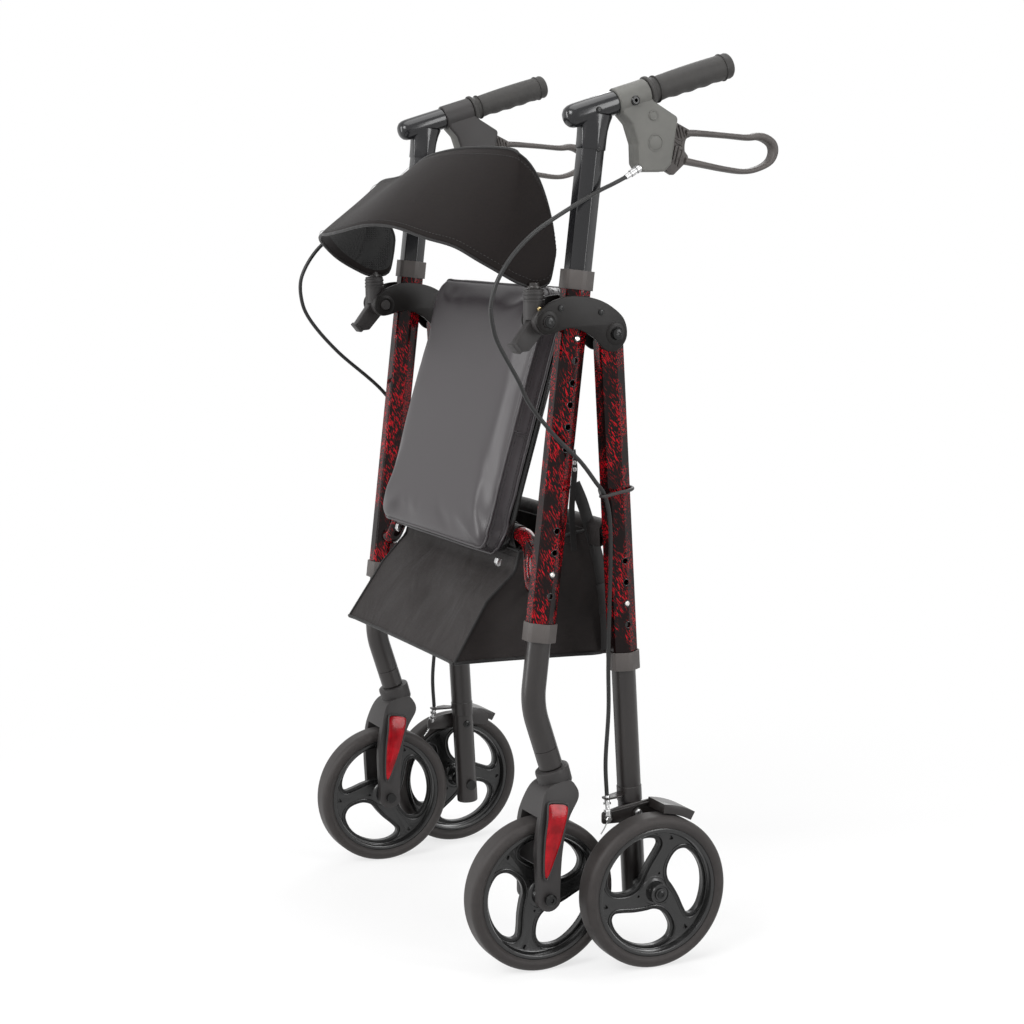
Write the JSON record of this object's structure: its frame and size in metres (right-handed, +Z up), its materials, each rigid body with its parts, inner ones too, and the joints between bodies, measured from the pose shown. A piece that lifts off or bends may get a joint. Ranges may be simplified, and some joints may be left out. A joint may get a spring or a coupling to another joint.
{
  "type": "rollator",
  "caption": "Four-wheeled walking frame with a flip-up seat, back band, brake levers and bag, folded for storage.",
  "frame": {"origin": "on the floor, under the middle of the folded object's bounding box", "axes": "+Z up; +Y towards the user who pushes it, so it rolls forward along -Y; +X towards the user's left"},
  "size_m": [0.6356, 0.467, 1.0718],
  "materials": {
    "red_streak_lacquer": "gloss black with red streaks",
    "black_gloss": "gloss",
    "black_satin": "satin",
    "grey_plastic": "matte",
    "black_plastic": "matte",
    "black_rubber": "matte",
    "tyre_rubber": "matte",
    "vinyl": "soft sheen",
    "fabric_black": "woven",
    "zinc": "bright"
  },
  "bodies": {
    "frame": {"front_tube_left": "red_streak_lacquer", "front_tube_right": "red_streak_lacquer", "front_collar_left": "grey_plastic", "front_collar_right": "grey_plastic", "upper_collar_left": "grey_plastic", "upper_collar_right": "grey_plastic", "hinge_plate_outer_left": "grey_plastic", "hinge_plate_outer_right": "grey_plastic", "hinge_plate_inner_left": "grey_plastic", "hinge_plate_inner_right": "grey_plastic", "fold_bolt_left": "black_satin", "fold_bolt_right": "black_satin", "brake_cable_left": "black_rubber", "brake_cable_right": "black_rubber", "front_arch": "red_streak_lacquer", "bag": "fabric_black"},
    "rear_frame": {"rear_tube_left": "red_streak_lacquer", "rear_tube_right": "red_streak_lacquer", "rear_collar_left": "grey_plastic", "rear_collar_right": "grey_plastic", "rear_crossbar": "black_gloss"},
    "back_band": {"back_band": "fabric_black", "band_bracket_left": "grey_plastic", "band_bracket_right": "grey_plastic"},
    "seat": {"seat_pad": "vinyl", "seat_board": "black_plastic"},
    "handle_left": {"handle_post_left": "black_gloss", "grip_left": "black_rubber", "brake_housing_left": "grey_plastic"},
    "lever_left": {"brake_lever_left": "grey_plastic"},
    "front_leg_left": {"front_leg_left": "black_satin"},
    "caster_left": {"fork_left": "grey_plastic", "front_axle_left": "zinc"},
    "front_wheel_left": {"front_wheel_left_rim": "black_plastic", "front_wheel_left_tyre": "tyre_rubber"},
    "rear_leg_left": {"rear_leg_left": "black_satin", "rear_axle_left": "zinc"},
    "brake_arm_left": {"brake_arm_left": "black_gloss"},
    "rear_wheel_left": {"rear_wheel_left_rim": "black_plastic", "rear_wheel_left_tyre": "tyre_rubber"},
    "post_button_left": {"post_button_left": "zinc"},
    "front_leg_button_left": {"front_leg_button_left": "zinc"},
    "rear_leg_button_left": {"rear_leg_button_left": "zinc"},
    "handle_right": {"handle_post_right": "black_gloss", "grip_right": "black_rubber", "brake_housing_right": "grey_plastic"},
    "lever_right": {"brake_lever_right": "grey_plastic"},
    "front_leg_right": {"front_leg_right": "black_satin"},
    "caster_right": {"fork_right": "grey_plastic", "front_axle_right": "zinc"},
    "front_wheel_right": {"front_wheel_right_rim": "black_plastic", "front_wheel_right_tyre": "tyre_rubber"},
    "rear_leg_right": {"rear_leg_right": "black_satin", "rear_axle_right": "zinc"},
    "brake_arm_right": {"brake_arm_right": "black_gloss"},
    "rear_wheel_right": {"rear_wheel_right_rim": "black_plastic", "rear_wheel_right_tyre": "tyre_rubber"},
    "post_button_right": {"post_button_right": "zinc"},
    "front_leg_button_right": {"front_leg_button_right": "zinc"},
    "rear_leg_button_right": {"rear_leg_button_right": "zinc"}
  },
  "joints": [
    {"name": "fold", "type": "hinge", "parent": "frame", "child": "rear_frame", "pos_m": [0, 0.00968, 0.7495], "axis": [1, 0, 0], "range_deg": [0, 39]},
    {"name": "seat_flip", "type": "hinge", "parent": "frame", "child": "seat", "pos_m": [0, -0.05812, 0.505], "axis": [1, 0, 0], "range_deg": [-56, 0]},
    {"name": "back_band_swing", "type": "hinge", "parent": "frame", "child": "back_band", "pos_m": [0, -0.07702, 0.7648], "axis": [1, 0, 0], "range_deg": [0, 50]},
    {"name": "handle_height_left", "type": "slide", "parent": "frame", "child": "handle_left", "axis": [0, 0.1132, 0.9936], "range_m": [-0.127, 0], "deforming": ["brake_cable_left"]},
    {"name": "brake_lever_left", "type": "hinge", "parent": "handle_left", "child": "lever_left", "pos_m": [0.248, 0.05968, 0.9978], "axis": [1, 0, 0], "range_deg": [0, 12], "stiffness_Nm_per_rad": 4, "springref_deg": -14.32},
    {"name": "front_leg_height_left", "type": "slide", "parent": "frame", "child": "front_leg_left", "axis": [0, 0.1132, 0.9936], "range_m": [-0.0254, 0.0254]},
    {"name": "caster_swivel_left", "type": "hinge", "parent": "front_leg_left", "child": "caster_left", "pos_m": [0.248, -0.08689, 0.31926], "axis": [0, -0.309, 0.9511], "range_deg": [-30, 30]},
    {"name": "front_wheel_spin_left", "type": "hinge", "parent": "caster_left", "child": "front_wheel_left", "pos_m": [0.248, -0.07812, 0.092], "axis": [1, 0, 0], "continuous": true},
    {"name": "rear_leg_height_left", "type": "slide", "parent": "rear_frame", "child": "rear_leg_left", "axis": [0, -0.0593, 0.9982], "range_m": [-0.0254, 0.0508]},
    {"name": "brake_arm_left", "type": "hinge", "parent": "rear_leg_left", "child": "brake_arm_left", "pos_m": [0.248, 0.04354, 0.1795], "axis": [1, 0, 0], "range_deg": [-0.96, 0]},
    {"name": "rear_wheel_spin_left", "type": "hinge", "parent": "rear_leg_left", "child": "rear_wheel_left", "pos_m": [0.2948, 0.04874, 0.092], "axis": [1, 0, 0], "continuous": true},
    {"name": "post_button_left", "type": "slide", "parent": "frame", "child": "post_button_left", "axis": [-1, 0, 0], "range_m": [0, 0.0018], "stiffness_N_per_m": 300, "springref_m": -0.006},
    {"name": "front_leg_button_left", "type": "slide", "parent": "frame", "child": "front_leg_button_left", "axis": [-1, 0, 0], "range_m": [0, 0.0018], "stiffness_N_per_m": 300, "springref_m": -0.006},
    {"name": "rear_leg_button_left", "type": "slide", "parent": "rear_frame", "child": "rear_leg_button_left", "axis": [-1, 0, 0], "range_m": [0, 0.0018], "stiffness_N_per_m": 300, "springref_m": -0.006},
    {"name": "handle_height_right", "type": "slide", "parent": "frame", "child": "handle_right", "axis": [0, 0.1132, 0.9936], "range_m": [-0.127, 0], "deforming": ["brake_cable_right"]},
    {"name": "brake_lever_right", "type": "hinge", "parent": "handle_right", "child": "lever_right", "pos_m": [-0.248, 0.05968, 0.9978], "axis": [1, 0, 0], "range_deg": [0, 12], "stiffness_Nm_per_rad": 4, "springref_deg": -14.32},
    {"name": "front_leg_height_right", "type": "slide", "parent": "frame", "child": "front_leg_right", "axis": [0, 0.1132, 0.9936], "range_m": [-0.0254, 0.0254]},
    {"name": "caster_swivel_right", "type": "hinge", "parent": "front_leg_right", "child": "caster_right", "pos_m": [-0.248, -0.08689, 0.31926], "axis": [0, -0.309, 0.9511], "range_deg": [-30, 30]},
    {"name": "front_wheel_spin_right", "type": "hinge", "parent": "caster_right", "child": "front_wheel_right", "pos_m": [-0.248, -0.07812, 0.092], "axis": [1, 0, 0], "continuous": true},
    {"name": "rear_leg_height_right", "type": "slide", "parent": "rear_frame", "child": "rear_leg_right", "axis": [0, -0.0593, 0.9982], "range_m": [-0.0254, 0.0508]},
    {"name": "brake_arm_right", "type": "hinge", "parent": "rear_leg_right", "child": "brake_arm_right", "pos_m": [-0.248, 0.04354, 0.1795], "axis": [1, 0, 0], "range_deg": [-0.96, 0]},
    {"name": "rear_wheel_spin_right", "type": "hinge", "parent": "rear_leg_right", "child": "rear_wheel_right", "pos_m": [-0.2948, 0.04874, 0.092], "axis": [1, 0, 0], "continuous": true},
    {"name": "post_button_right", "type": "slide", "parent": "frame", "child": "post_button_right", "axis": [1, 0, 0], "range_m": [0, 0.0018], "stiffness_N_per_m": 300, "springref_m": -0.006},
    {"name": "front_leg_button_right", "type": "slide", "parent": "frame", "child": "front_leg_button_right", "axis": [1, 0, 0], "range_m": [0, 0.0018], "stiffness_N_per_m": 300, "springref_m": -0.006},
    {"name": "rear_leg_button_right", "type": "slide", "parent": "rear_frame", "child": "rear_leg_button_right", "axis": [1, 0, 0], "range_m": [0, 0.0018], "stiffness_N_per_m": 300, "springref_m": -0.006}
  ],
  "couplings": [
    {"joint": "seat_flip", "follows": "fold", "ratio": -1.4359},
    {"joint": "brake_arm_left", "follows": "brake_lever_left", "ratio": -0.08},
    {"joint": "brake_arm_right", "follows": "brake_lever_right", "ratio": -0.08}
  ]
}
